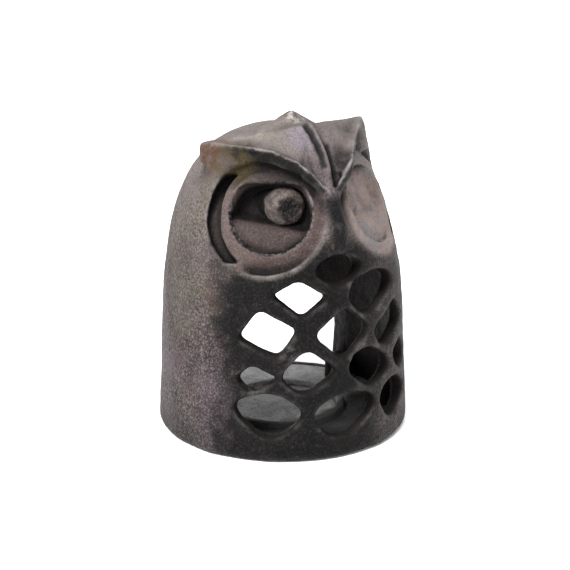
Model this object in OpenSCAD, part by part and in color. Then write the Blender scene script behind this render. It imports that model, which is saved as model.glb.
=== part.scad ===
// Owl tealight lantern: a hollow cast-iron bell with a pierced breast, a brow crest with two ear
// tufts, eye rings with stud pupils, and a screwed-in floor that seats a tealight.
// The owl looks along -Y, +Z is up, and the origin is at the centre of the pad it stands on.

/* [Bell] */
// Diameter across the foot
base_d = 90; // [88:0.5:92]
// Height where the plain dome closes
dome_h = 110; // [109:0.5:111]
// How much the radius shrinks for each millimetre of height
taper = 0.035; // [0.03:0.005:0.04]
// Wall thickness low on the bell
wall = 4.8; // [4.4:0.2:5.2]
// Rounding of the foot's outer edge
foot_edge = 2.5; // [1.5:0.5:3]

/* [Hollow] */
// Height where the hollow starts to close in
core_turn = 45; // [42:1:47]
// Height of the top of the hollow
core_top = 90; // [88:1:91]

/* [Rear doorway] */
// Width of the doorway
door_w = 72; // [66:1:72]
// Height where its jambs start to arch over
door_spring = 24; // [20:1:26]
// Height of its crown
door_top = 52; // [48:1:54]

/* [Eyes] */
// Turn of each eye away from the beak
eye_turn = 37; // [36.5:0.5:37.5]
// Upward tilt of each eye
eye_tilt = 28; // [27.5:0.5:28.5]
// Height of the middle of each bowl's rim
eye_z = 89; // [88.5:0.5:89.5]
// Radius of the bowl
bowl_r = 14.4; // [14:0.2:14.6]
// Depth of the left bowl
bowl_depth = 6.4; // [5.8:0.2:6.6]
// Radius of the outer eye ring
ring_r = 21.4; // [21:0.1:21.6]
// Depth of the crescent groove at the outer side of each ring
groove_depth = 4; // [3:0.5:4.5]

/* [Pupils] */
// Radius of the left stud at its tip
pupil_r = 6.2; // [6:0.1:6.4]
// Length of the left stud
pupil_l = 7; // [6.5:0.5:7.5]
// Radius of each spigot
spigot_r = 2.2; // [1.8:0.1:2.4]
// Length of each spigot
spigot_l = 4; // [3:0.5:4.5]

/* [Floor] */
// Thickness of the plate
plate_t = 3; // [2.6:0.2:3.2]
// Diameter of the tealight that the ring seats
tealight_d = 39; // [38:0.5:40]
// Height of the seat ring over the floor
seat_h = 2; // [1.5:0.5:3]
// Thickness of the pad under the plate
pad_t = 1; // [0.8:0.1:1.4]

/* [Hidden] */
$fn = 72;
IRON = [0.30, 0.25, 0.24];
WORN_IRON = [0.40, 0.34, 0.32];

base_r = base_d / 2;
foot_z = 0.6 * pad_t;
floor_z = pad_t + plate_t;
rebate_r = base_r - 3.3;
plate_gap = 0.15;
seat_r = tealight_d / 2 + 0.5;
seat_wall = 2.5;
pad_r = 28;
profile_steps = 22;
core_steps = 14;
clear = 0.01;

// Openings of the breast: [turn from the beak, height, half width, half height]
LATTICE = [
    [0, 69.2, 9.2, 4.9],
    [-22, 60.5, 9.4, 5.8], [21, 58.3, 12.4, 7.1],
    [-37.5, 47.5, 10.4, 7.8], [0.4, 46.1, 10.8, 8.9], [31.8, 44, 9.5, 7.4],
    [-17.6, 33.3, 9.6, 7.1], [17, 31.4, 10.1, 7.7],
    [-41.5, 31.8, 7, 3.9], [45, 29.5, 6.8, 5],
    [-37, 18.4, 11.8, 8.4], [2, 17, 12.6, 8.4], [36.2, 17.2, 11.2, 7.1]
];
lattice_power = 1.35;
lattice_sides = 20;

// Middle of each bowl's rim, sideways and forwards; the right bowl was cast lower and shallower
eye_x = 19.7;
eye_out = 26;
right_bowl_drop = 2.9;
right_bowl_depth = 4.2;

// Each dished ring sits a little lower and further out than its bowl
ring_out = 1.6;
ring_down = 1.4;
ring_floor = 5;
groove_w = 3.8;
groove_l = 31;

// Lugs and their M3 countersunk screws
LUG_TURNS = [65, 115, -65, -115];
lug_r = 34.5;
lug_half_w = 4;
lug_h = 8;
screw_r = 1.5;
screw_clear_r = 1.7;
screw_head_r = 2.8;
screw_head_h = 1.6;
screw_l = 9;
screw_hole_l = 7;
slot_w = 0.8;
slot_depth = 0.7;

// Crest of one brow, from the beak out to the ear tuft
CREST = [
    [1, -32.8, 94.5], [5.7, -33.4, 101.4], [11.5, -31.2, 106.6], [18, -22.2, 109.8],
    [24.5, -12.6, 110], [28.5, -6, 109.6], [32.4, 0, 109.2]
];
crest_round = 0.8;
crest_drop = 5;
tuft_drop = 7.5;
APEX = [0, -6, 117.4];

// Left and right stud: [middle of the tip, turn and tilt of the axis, length, girth beside the left one]
STUDS = [
    [[-12.6, -27.2, 89.6], -10, 8, pupil_l, 1],
    [[10.7, -30, 88.8], 25, 15, 2.4, 0.6]
];
pupil_base_r = 6.9;
boss_l = 6;
boss_flare = 1.4;
seat_gap = 0.15;

function bell_r(z) = (base_r - taper * z) * pow(1 - pow(z / dome_h, 5), 1 / 2.6);
function core_low_r(z) = base_r - wall - taper * z;
function core_close(z) = pow(1 - pow((z - core_turn) / (core_top - core_turn), 2.2), 0.5);
function core_r(z) = z <= core_turn ? core_low_r(z) : core_low_r(core_turn) * core_close(z);
function ease(t) = 1 - (1 - t) * (1 - t);
function signed_power(v, e) = sign(v) * pow(abs(v), e);
function stud(side) = STUDS[side > 0 ? 1 : 0];
function stud_l(side) = stud(side)[3];
function stud_girth(side) = stud(side)[4];

function arc(centre, r, from, to, steps) = [
    for (i = [0 : steps]) let (a = from + (to - from) * i / steps)
        [centre[0] + r * cos(a), centre[1] + r * sin(a)]
];

function rounded_diamond(half_w, half_h) = [
    for (i = [0 : lattice_sides - 1]) let (a = 360 * (i + 0.5) / lattice_sides, e = 2 / lattice_power)
        [half_w * signed_power(cos(a), e), half_h * signed_power(sin(a), e)]
];

// Outline of the wall: foot, outside up to the dome's top, then back down the hollow
profile_z = foot_z + foot_edge;
FOOT_ARC = arc([bell_r(profile_z) - foot_edge, profile_z], foot_edge, -90, 0, 5);
OUTSIDE = [
    for (i = [1 : profile_steps]) let (z = profile_z + (dome_h - profile_z) * ease(i / profile_steps))
        [i == profile_steps ? 0 : bell_r(z), z]
];
crown_z = core_top - (core_top - core_turn) / pow(core_steps, 2);
INSIDE = [
    for (i = [1 : core_steps]) let (z = core_top - (core_top - core_turn) * pow(i / core_steps, 2))
        [core_r(z), z]
];
WALL_OUTLINE = concat(
    [[rebate_r, foot_z]], FOOT_ARC, OUTSIDE, [[0, crown_z]], INSIDE,
    [[core_r(floor_z), floor_z], [rebate_r, floor_z]]
);

// Places things in the plane of an eye, with +Z out of it; side is -1 or 1
module at_socket(side) {
    translate([side * eye_x, -eye_out, eye_z])
        rotate([0, 0, side * eye_turn]) rotate([90 - eye_tilt, 0, 0]) children();
}

// The same on the axis of its bowl, and on the axis of its dished ring
module at_eye(side) at_socket(side) translate([0, side > 0 ? -right_bowl_drop : 0, 0]) children();
module at_ring(side) at_socket(side) translate([side * ring_out, -ring_down, 0]) children();

// Places things on a pupil's axis at its tip, with +Z out of the tip
module at_pupil(side) {
    translate(stud(side)[0]) rotate([0, 0, stud(side)[1]]) rotate([90 - stud(side)[2], 0, 0]) children();
}

// Places things at a screw, at the height of the plate's underside
module at_screw(turn) rotate([0, 0, turn]) translate([0, -lug_r, pad_t]) children();

module bell_wall() rotate_extrude() polygon(WALL_OUTLINE);

module lattice_opening(turn, height, half_w, half_h) {
    rotate([0, 0, turn]) translate([0, 0, height]) rotate([90, 0, 0])
        translate([0, 0, 22]) linear_extrude(30) polygon(rounded_diamond(half_w, half_h));
}

module doorway() {
    half = door_w / 2;
    rise = door_top - door_spring;
    arch = [for (i = [0 : 12]) let (a = 15 * i) [half * cos(a), door_spring + rise * sin(a)]];
    translate([0, 60, 0]) rotate([90, 0, 0]) linear_extrude(60)
        polygon(concat([[-half, floor_z], [half, floor_z]], arch));
}

// Dish round the bowl, which leaves the bowl's rim standing
module ring_dish(side) {
    difference() {
        at_ring(side) rotate_extrude() polygon([
            [0, -ring_floor + 1], [ring_r - 6, -ring_floor + 0.3], [ring_r - 3, -ring_floor],
            [ring_r - 1.2, -ring_floor + 0.2], [ring_r, -ring_floor + 1.2],
            [ring_r + 1.4, -1], [ring_r + 4, 8], [0, 8]
        ]);
        at_eye(side) translate([0, 0, -ring_floor - 1])
            cylinder(h = ring_floor + 1, r1 = bowl_r + 5.5, r2 = bowl_r + 0.5);
    }
}

module bowl(side) {
    depth = side > 0 ? right_bowl_depth : bowl_depth;
    corner = depth - 1.4;
    at_eye(side) rotate_extrude() polygon(concat(
        [[0, 8], [0, -depth]], arc([bowl_r - corner, corner - depth], corner, -90, 0, 5), [[bowl_r, 8]]
    ));
}

// Raised lip round the lower half of the dish
module ring_lip(side) {
    at_ring(side) translate([0, 0, -ring_floor + 0.4]) rotate_extrude() translate([ring_r - 0.5, 0]) circle(1.75);
}

module crescent_groove(side) {
    bottom = ring_floor + groove_depth;
    at_ring(side) translate([0, 0, -bottom]) linear_extrude(bottom + 8) intersection() {
        difference() {
            translate([side * 0.5, 0.3]) circle(ring_r + 0.4);
            translate([-side * groove_w, -0.2]) circle(ring_r + 0.9);
        }
        translate([side * ring_r, -0.4]) square([ring_r, groove_l], center = true);
    }
}

// Flat-topped pad in the bowl that the stud stands on
module pupil_pad(side) {
    root_r = pupil_base_r * stud_girth(side);
    at_pupil(side) translate([0, 0, -stud_l(side) - boss_l])
        cylinder(h = boss_l, r1 = root_r + boss_flare, r2 = root_r);
}

// Spot-faced seat for a stud, and the hole for its spigot
module stud_seat(side) {
    root_r = pupil_base_r * stud_girth(side);
    at_pupil(side) {
        translate([0, 0, -stud_l(side)]) cylinder(h = stud_l(side) + 3, r = root_r + seat_gap);
        translate([0, 0, -stud_l(side) - spigot_l - 0.3]) cylinder(h = spigot_l + 1, r = spigot_r);
    }
}

// Brow: crest, the dark face under it, and the forehead facet back to the crown
module brow(side) {
    hull() {
        for (p = CREST) {
            translate([side * p[0], p[1], p[2]]) sphere(crest_round, $fn = 14);
            drop = p[0] > 26 ? tuft_drop : crest_drop;
            translate([side * p[0] * 0.97, p[1] * 0.97, p[2] - drop]) sphere(crest_round, $fn = 14);
        }
        translate(APEX) sphere(crest_round, $fn = 14);
        translate([side * 22, 8, 98]) sphere(3, $fn = 14);
        translate([0, 12, 103]) sphere(3, $fn = 14);
    }
}

module beak() {
    hull() {
        translate([0, -33, 93]) sphere(1.6, $fn = 24);
        translate([0, -38, 84]) sphere(2.8, $fn = 24);
        translate([0, -39.4, 77]) sphere(1.6, $fn = 24);
        translate([0, -30, 84]) sphere(5, $fn = 24);
    }
}

module lug(turn) {
    reach = base_r - wall / 2 - lug_r - 1;
    at_screw(turn) translate([0, 0, plate_t]) {
        cylinder(h = lug_h, r = lug_half_w);
        translate([-lug_half_w, -reach, 0]) cube([2 * lug_half_w, reach, lug_h]);
    }
}

module owl_shell() {
    color(IRON) difference() {
        union() {
            difference() {
                union() {
                    bell_wall();
                    for (side = [-1, 1]) ring_lip(side);
                }
                for (side = [-1, 1]) {
                    ring_dish(side);
                    bowl(side);
                    crescent_groove(side);
                }
                for (hole = LATTICE) lattice_opening(hole[0], hole[1], hole[2], hole[3]);
                doorway();
            }
            for (side = [-1, 1]) {
                brow(side);
                pupil_pad(side);
            }
            beak();
            for (turn = LUG_TURNS) lug(turn);
        }
        for (side = [-1, 1]) stud_seat(side);
        for (turn = LUG_TURNS) at_screw(turn) cylinder(h = plate_t + screw_hole_l, r = screw_r);
    }
}

// Round-nosed stud on its spigot, with a shallow dimple in its tip
module pupil(side) {
    tip_r = pupil_r * stud_girth(side);
    root_r = pupil_base_r * stud_girth(side);
    length = stud_l(side);
    tip_round = 0.36 * tip_r;
    dimple_r = 0.6 * tip_r;
    color(WORN_IRON) at_pupil(side) difference() {
        rotate_extrude() polygon(concat(
            [[0, -length - spigot_l], [spigot_r, -length - spigot_l], [spigot_r, -length], [root_r, -length]],
            arc([tip_r - tip_round, -tip_round], tip_round, 0, 90, 4), [[0, 0]]
        ));
        translate([0, 0, 1.8 * dimple_r]) sphere(2 * dimple_r);
    }
}

module left_pupil() pupil(-1);
module right_pupil() pupil(1);

module base_plate() {
    cone_h = screw_head_h * (screw_head_r - screw_clear_r) / (screw_head_r - screw_r);
    color([0.45, 0.46, 0.46]) difference() {
        union() {
            translate([0, 0, pad_t]) cylinder(h = plate_t, r = rebate_r - plate_gap);
            translate([0, 0, floor_z]) difference() {
                cylinder(h = seat_h, r1 = seat_r + seat_wall + 0.6, r2 = seat_r + seat_wall);
                cylinder(h = seat_h + 1, r = seat_r);
            }
        }
        for (turn = LUG_TURNS) at_screw(turn) {
            cylinder(h = cone_h, r1 = screw_head_r, r2 = screw_clear_r);
            cylinder(h = plate_t + 1, r = screw_clear_r);
        }
    }
}

module base_screws() {
    color([0.62, 0.6, 0.55]) for (turn = LUG_TURNS) at_screw(turn) difference() {
        union() {
            cylinder(h = screw_head_h, r1 = screw_head_r, r2 = screw_r);
            cylinder(h = screw_l, r = screw_r);
        }
        translate([-screw_head_r, -slot_w / 2, -clear]) cube([2 * screw_head_r, slot_w, slot_depth + clear]);
    }
}

module foot_pad() {
    color([0.09, 0.09, 0.09]) cylinder(h = pad_t, r = pad_r);
}

owl_shell();
left_pupil();
right_pupil();
base_plate();
base_screws();
foot_pad();
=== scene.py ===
"""Owl tealight lantern: a sculpted cast-iron shell, stud pupils, a screwed floor plate and a pad.

The shell, the studs and the floor plate are distance fields in millimetres, meshed and roughened like
sand castings. The shell is then painted with procedural patina, and with painted shade, painted light and
painted highlights. The screws and the pad keep their CAD shapes and get a finish of their own.
"""
import math

import bmesh
import bpy
import numpy as np
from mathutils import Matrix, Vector


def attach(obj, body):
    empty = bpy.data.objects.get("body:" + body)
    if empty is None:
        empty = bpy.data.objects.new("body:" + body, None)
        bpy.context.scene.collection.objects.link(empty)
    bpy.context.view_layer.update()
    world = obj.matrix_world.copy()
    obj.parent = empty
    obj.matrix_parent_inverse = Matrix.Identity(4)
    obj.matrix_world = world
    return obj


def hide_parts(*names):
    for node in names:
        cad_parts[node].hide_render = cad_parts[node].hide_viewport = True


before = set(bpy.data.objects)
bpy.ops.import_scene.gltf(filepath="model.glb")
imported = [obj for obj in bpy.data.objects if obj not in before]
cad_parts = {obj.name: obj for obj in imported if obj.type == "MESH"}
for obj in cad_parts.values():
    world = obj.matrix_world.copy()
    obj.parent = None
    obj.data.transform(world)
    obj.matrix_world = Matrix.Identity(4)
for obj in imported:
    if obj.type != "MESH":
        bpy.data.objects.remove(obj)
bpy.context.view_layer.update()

MM = 0.001

# Bell, hollow and doorway, in millimetres, as the CAD has them
BASE_R = 45.0
TAPER = 0.035
DOME_H = 110.0
BELL_ROUND = 2.6
BELL_SHOULDER = 5
WALL = 4.8
HOLLOW_TURN = 45.0
HOLLOW_TOP = 90.0
HOLLOW_SHOULDER = 2.2
FOOT_Z = 0.6
FOOT_ARC = 2.4
FLOOR_Z = 4.0
REBATE_R = 41.7
DOOR_HALF = 36.0
DOOR_SPRING = 24.0
DOOR_TOP = 52.0

# Openings of the breast. Each is the (turn, height) of its far left, top, right and bottom, then how round
# its corners are. An opening has that outline at OPENING_R from the axis, and narrows towards the hollow.
LATTICE = (
    ((-14.5, 69.5), (-2, 75), (15, 68.5), (-1, 63), 6.5),
    ((-34.5, 61.5), (-22, 66.5), (-7.8, 59.8), (-20.5, 53.4), 2.4),
    ((3.5, 59.5), (16, 66), (38.5, 60), (14, 51), 8.5),
    ((-51, 45.5), (-41, 55.5), (-24, 49), (-32.5, 39.5), 3.0),
    ((-13.5, 46.5), (1.5, 55), (15, 45.5), (1, 37), 5.0),
    ((19.4, 44), (40, 51.3), (46.5, 42.5), (25.5, 37.6), 6.0),
    ((-30, 32), (-18.5, 41), (-4.5, 32.5), (-20, 25.4), 5.0),
    ((2.8, 33.3), (13.5, 39), (30, 29.2), (16.5, 23.8), 7.5),
    ((35.5, 32), (46, 34.8), (56, 26.5), (41.5, 25), 5.0),
    ((-51.5, 30.5), (-44.5, 35.5), (-33, 31.5), (-46, 26.4), 3.0),
    ((-53, 19.8), (-36, 25.6), (-21, 18), (-36, 9.3), 7.5),
    ((-15, 17), (2.5, 24), (18.6, 18), (-3, 8), 9.0),
    ((22.4, 18.3), (33.5, 23), (50.5, 15.5), (31, 9.2), 7.5),
)
OPENING_R = 44.0
OPENING_FLARE = 0.12
OPENING_EDGE = 1.6
OPENING_REACH = 20.0
OPENING_MARGIN = 5.0

# Eyes
EYE_TURN = 37.0
EYE_TILT = 28.0
EYE_CENTRE = (19.7, -26.0, 89.0)
BOWL_R = 14.4
BOWL_SHALLOW = 2.6
BOWL_DEEP = {-1: 9.5, 1: 3.8}
RIGHT_BOWL_DROP = 2.9
EYELID = {-1: 10.4, 1: 17.0}
RING_R = 21.4
RING_OUT = 1.6
RING_DOWN = 1.4
GROOVE_W = 4.7
GROOVE_HALF = 15.5
GROOVE_FLOOR = 9.0
LIP_H = -4.2
LIP_R = 1.7
DISH_EDGE = 1.3
DISH_DEPTH = 1.2
DISH_FALL = 3.2

# Brow: points along the crest, posts under the ear as (start, end, radius), the crown, the beak's two bars
CREST = ((0, -33.6, 94), (5.7, -34.2, 102), (11.5, -31.6, 107.2), (18, -22.4, 110.2), (24.5, -12.8, 110.4),
         (28.7, -6.8, 110.2), (33.8, 0, 110.2))
VISOR_H = 5.0
TUFT_H = 7.8
EAR_BLEND = 5.0
EAR_POSTS = (
    ((29.6, -3.0, 106.0), (27.6, -13.4, 92.0), 2.6),
    ((28.2, -0.5, 103.0), (28.6, -4.0, 94.0), 2.0),
    ((27.0, -11.0, 104.0), (26.5, -17.0, 95.0), 2.6),
)
TUFT_END = 33.8
TUFT_SIDE = 29.7
SIDE_SLOPE = 0.285
SIDE_OUT = 59.7
CROWN = (0.0, -6.0, 118.9)
CROWN_SLOPE = 0.70
CROWN_R = 13.0
BEAK = (
    ((0.0, -32.2, 95.5), (0.0, -37.0, 84.0), 2.0, 3.4),
    ((0.0, -37.0, 84.0), (0.0, -38.8, 76.5), 3.4, 2.2),
)

# Middle line of the forehead, from the beak up to the crown
MIDLINE_Y = (-34.0, -30.0, -26.0, -21.0, -17.0)
MIDLINE_Z = (93.5, 101.8, 106.8, 112.0, 116.0)

# Stud pupils: middle of the tip, turn and tilt of the axis, length, radius at the tip and at the root
STUDS = {
    -1: ((-12.6, -27.2, 89.6), -10.0, 8.0, 7.0, 6.5, 7.0),
    1: ((10.7, -30.0, 88.8), 25.0, 15.0, 2.4, 3.7, 4.2),
}
SPIGOT_R = 2.15
SPIGOT_L = 4.0

# Lugs inside the foot, and the screws that go up into them
LUG_TURNS = (65, 115, -65, -115)
LUG_R = 34.5
LUG_HALF_W = 4.0
LUG_OUT = 42.0
LUG_TOP = 12.0
SCREW_R = 1.75
SCREW_HEAD_R = 2.9
SCREW_CONE = 0.82

# Floor plate and the ring on it that a tealight stands in
PLATE_GAP = 0.15
PLATE_BOTTOM = 1.0
PLATE_T = 3.0
PLATE_BOX = ((-43.0, -43.0, 0.2), (43.0, 43.0, 7.0))
SEAT_MID_R = 21.4
SEAT_MID_Z = 4.5
SEAT_HALF = 1.5
SEAT_OUT_R = 23.1
SEAT_DRAFT = 0.3

# Patina in round spots: centre and radius
SPOTS = {
    "rust": ((-31.0, -3.0, 105.5), 10.5),
    "olive": ((-27.0, -13.0, 104.0), 10.5),
    "ochre": ((-19.0, -5.0, 110.5), 13.0),
    "violet": ((-3.0, -19.0, 110.5), 8.0),
}

# Painted shade in the hollows behind the brow, and scraped places: centre, radius, how strong
BROW_HOLLOW_SHADE = (
    ((9.0, -27.0, 102.5), 8.5, 0.85),
    ((-7.0, -29.5, 102.0), 9.0, 0.5),
)
CHIPS = (
    ((0.5, -8.5, 117.4), 5.5, 1.0),
    ((-20.4, -38.8, 41.6), 5.0, 0.12),
    ((7.8, -43.1, 39.2), 4.0, 0.14),
    ((-30.6, -31.4, 27.6), 7.0, 0.10),
    ((-18.0, -39.8, 36.0), 4.0, 0.10),
)

# Casting lumps: height, size, seed
SHELL_LUMPS = ((0.22, 9.0, 1), (0.13, 3.6, 2), (0.07, 1.5, 3))
STUD_LUMPS = ((0.20, 3.2, 20), (0.12, 1.3, 21))
PLATE_LUMPS = ((0.08, 5.0, 20), (0.04, 2.0, 21))

# The eyes and beak lie above FACE_Z and in front of FACE_BACK, the brow and crown above BROW_Z
FACE_Z = 60.0
FACE_BACK = 12.0
BROW_Z = 86.0

# Grid steps, fine and quick, and the room left round the shell
SHELL_STEPS = (0.62, 1.0)
STUD_STEPS = (0.22, 0.4)
PLATE_STEPS = (0.5, 1.0)
SHELL_MARGIN = 1.5
SHELL_TOP = 119.0

# Most triangles the shell keeps, how often pinched grid points are looked for, and how deep they are filled
MAX_TRIANGLES = 192000
PINCH_ROUNDS = 4
PINCH_FILL = 0.05

# Size of the noise's random table, which repeats, and a shift that keeps the cells above 0
NOISE_CELLS = 32
NOISE_SHIFT = 100.0

# Studio, in metres and degrees, but the lens in millimetres. Lights: name, position, size, power, tint.
STUDIO_MIDDLE = (0.0, 0.0, 0.06)
LIGHTS = (
    ("key", (-0.75, -0.30, 0.95), 0.45, 26.0, (1.0, 0.985, 0.97)),
    ("top", (0.10, -0.20, 1.20), 0.50, 8.0, (0.97, 0.98, 1.0)),
)
STUDIO_FLOOR_R = 2.6
CAMERA_LENS = 174.9
CAMERA_SENSOR = 36.0
CAMERA_TURN = -30.0
CAMERA_LIFT = 19.85
LOOK_Z = 0.0508
LOOK_RIGHT = 0.00092


# ---------- distance-field helpers

def smooth_max(a, b, k):
    h = np.maximum(k - np.abs(a - b), 0.0) / k
    return np.maximum(a, b) + h * h * k * 0.25


def smooth_min(a, b, k):
    return -smooth_max(-a, -b, k)


def smoothstep(low, high, x):
    t = np.clip((x - low) / (high - low), 0.0, 1.0)
    return t * t * (3.0 - 2.0 * t)


def implicit(value, grad_a, grad_b):
    """Distance from an implicit function's value and its two slopes."""
    return np.clip(value / np.sqrt(grad_a * grad_a + grad_b * grad_b + 1e-6), -40.0, 40.0)


def turned(x, y, turn):
    """Places across and ahead in plan, seen from the front turned by radians."""
    return x * math.cos(turn) + y * math.sin(turn), x * math.sin(turn) - y * math.cos(turn)


def facing(turn, tilt):
    """Unit vector to the front, turned and then tilted upwards by degrees."""
    turn, tilt = math.radians(turn), math.radians(tilt)
    return math.sin(turn) * math.cos(tilt), -math.cos(turn) * math.cos(tilt), math.sin(tilt)


def bell_field(r, z):
    radius = BASE_R - TAPER * z
    p = r / radius
    t = np.clip(z / DOME_H, 0.0, 1.2)
    slope_r = BELL_ROUND * p ** (BELL_ROUND - 1) / radius
    slope_z = BELL_SHOULDER * t ** (BELL_SHOULDER - 1) / DOME_H
    return implicit(p ** BELL_ROUND + t ** BELL_SHOULDER - 1.0, slope_r, slope_z)


def hollow_field(r, z):
    radius = BASE_R - WALL - TAPER * np.minimum(z, HOLLOW_TURN)
    height = HOLLOW_TOP - HOLLOW_TURN
    t = np.clip((z - HOLLOW_TURN) / height, 0.0, 1.4)
    p = r / radius
    slope_z = HOLLOW_SHOULDER * t ** (HOLLOW_SHOULDER - 1) / height
    return implicit(p ** 2 + t ** HOLLOW_SHOULDER - 1.0, 2.0 * p / radius, slope_z)


def bell_radius(z):
    """Outside radius of the bell at a height below its top."""
    return (BASE_R - TAPER * z) * (1.0 - (z / DOME_H) ** BELL_SHOULDER) ** (1.0 / BELL_ROUND)


# ---------- parts of the shell

def door_field(x, y, z):
    half = np.abs(x)
    rise = DOOR_TOP - DOOR_SPRING
    up = np.maximum(z - DOOR_SPRING, 0.0)
    p = half / DOOR_HALF
    q = up / rise
    arch = implicit(p * p + q * q - 1.0, 2.0 * p / DOOR_HALF, 2.0 * q / rise)
    return np.maximum(np.maximum(arch, FLOOR_Z - z), -y)


def opening_field(u, v, ends, rounding):
    """Four-cornered outline that bulges to keep its round corners on the ends; u runs right and v up."""
    field = None
    for (u0, v0), (u1, v1) in zip(ends, ends[1:] + ends[:1]):
        length = math.hypot(u1 - u0, v1 - v0)
        edge = (-(v1 - v0) * (u - u0) + (u1 - u0) * (v - v0)) / length
        field = edge if field is None else smooth_max(field, edge, rounding)
    return field - rounding / 4.0


def cut_openings(shell, xs, ys, zs):
    """Cuts each opening radially through the wall, touching only the grid cells near it."""
    for *ends, rounding in LATTICE:
        turn = math.radians((ends[0][0] + ends[2][0]) / 2)
        flat = [(float(bell_radius(h)) * math.sin(math.radians(t) - turn), h) for t, h in ends]
        low = min(h for _, h in flat) - OPENING_MARGIN
        high = max(h for _, h in flat) + OPENING_MARGIN
        k0, k1 = np.searchsorted(zs, (low, high))
        j1 = np.searchsorted(ys, 0.0)
        x = xs[:, None, None]
        y = ys[None, :j1, None]
        z = zs[None, None, k0:k1]
        u, ahead = turned(x, y, turn)
        outline = opening_field(u, z, flat, rounding) + OPENING_FLARE * (OPENING_R - ahead)
        cut = np.maximum(outline, OPENING_REACH - ahead)
        part = shell[:, :j1, k0:k1]
        shell[:, :j1, k0:k1] = smooth_max(part, -cut, OPENING_EDGE)


def eye_axes(side):
    """Unit vectors outwards along the face, up it and out of it."""
    turn, tilt = math.radians(EYE_TURN), math.radians(EYE_TILT)
    sideways = (side * math.cos(turn), math.sin(turn), 0.0)
    upward = (-side * math.sin(turn) * math.sin(tilt), math.cos(turn) * math.sin(tilt), math.cos(tilt))
    normal = (side * math.sin(turn) * math.cos(tilt), -math.cos(turn) * math.cos(tilt), math.sin(tilt))
    return sideways, upward, normal


def along(axis, x, y, z):
    return axis[0] * x + axis[1] * y + axis[2] * z


def eye_coordinates(x, y, z, side):
    """Place across, up and out of an eye's socket, up from its bowl, and across and up from its ring."""
    sideways, upward, normal = eye_axes(side)
    dx, dy, dz = x - side * EYE_CENTRE[0], y - EYE_CENTRE[1], z - EYE_CENTRE[2]
    a = along(sideways, dx, dy, dz)
    b = along(upward, dx, dy, dz)
    h = along(normal, dx, dy, dz)
    drop = RIGHT_BOWL_DROP if side > 0 else 0.0
    return a, b, h, b + drop, a - RING_OUT, b + RING_DOWN


def carve_eye(shell, x, y, z, side):
    """Raises the eye's lip, then cuts the dish, the bowl and the crescent groove."""
    a, b, h, bowl_b, ra, rb = eye_coordinates(x, y, z, side)
    ring = np.sqrt(ra * ra + rb * rb)
    rho = np.sqrt(a * a + bowl_b * bowl_b)
    lateral = ra / np.maximum(ring, 1.0)
    upper = rb / np.maximum(ring, 1.0)

    for start, end, size in EAR_POSTS:
        post = capsule(x, y, z, (side * start[0], *start[1:]), (side * end[0], *end[1:]), size, size)
        shell = smooth_min(shell, post, EAR_BLEND)

    lip = np.sqrt((ring - RING_R + 0.2) ** 2 + (h - LIP_H) ** 2) - LIP_R
    lip = smooth_max(lip, rb - 8.0 + 16.0 * smoothstep(0.2, 0.75, lateral), 2.0)
    shell = smooth_min(shell, lip, 1.6)

    depth = DISH_DEPTH + DISH_FALL * smoothstep(0.8, 0.2, lateral) * smoothstep(0.75, 0.1, upper)
    floor = -np.minimum(depth, np.maximum(rho - BOWL_R - 0.2, 0.0) * 0.66)
    dish = smooth_max(ring - RING_R + DISH_EDGE, floor - h, 2.0)
    shell = smooth_max(shell, -dish, 0.8)

    deep = smoothstep(-7.0, 1.0, bowl_b - 0.15 * a)
    bowl_floor = BOWL_SHALLOW + (BOWL_DEEP[side] - BOWL_SHALLOW) * deep
    bowl = smooth_max(rho - BOWL_R - 0.22 * np.minimum(h, 0.0) * deep, -bowl_floor - h, 1.0 + 2.5 * deep)
    bowl = smooth_max(bowl, b - EYELID[side], 3.0)
    shell = smooth_max(shell, -bowl, 0.5)

    inner = np.sqrt((ra + GROOVE_W) ** 2 + rb * rb)
    crescent = np.maximum(ring - RING_R + 0.3, RING_R - 0.3 - inner)
    crescent = smooth_max(crescent, np.abs(rb + 0.4) - GROOVE_HALF, 1.0)
    groove = smooth_max(crescent, -GROOVE_FLOOR - h, 1.5)
    return smooth_max(shell, -groove, 0.6)


def side_field(x, y, z):
    """Flat side of the face, outward of each eye, which turns upright below the ear tuft."""
    out = 0.866 * np.abs(x) - 0.5 * y
    return smooth_min(out - TUFT_SIDE, (out + SIDE_SLOPE * z - SIDE_OUT) * 0.96, 3.0)


def nearest_crest(x, y):
    """Distance to the crest in plan, and the crest's height at the nearest point."""
    best = np.full(np.broadcast(x, y).shape, 1e3, np.float32)
    height = np.zeros_like(best)
    for (x0, y0, z0), (x1, y1, z1) in zip(CREST, CREST[1:]):
        ex, ey = x1 - x0, y1 - y0
        t = np.clip(((x - x0) * ex + (y - y0) * ey) / (ex * ex + ey * ey), 0.0, 1.0)
        dist = np.sqrt((x - x0 - t * ex) ** 2 + (y - y0 - t * ey) ** 2)
        closer = dist < best
        best = np.where(closer, dist, best)
        height = np.where(closer, z0 + t * (z1 - z0), height)
    return best, height


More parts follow.
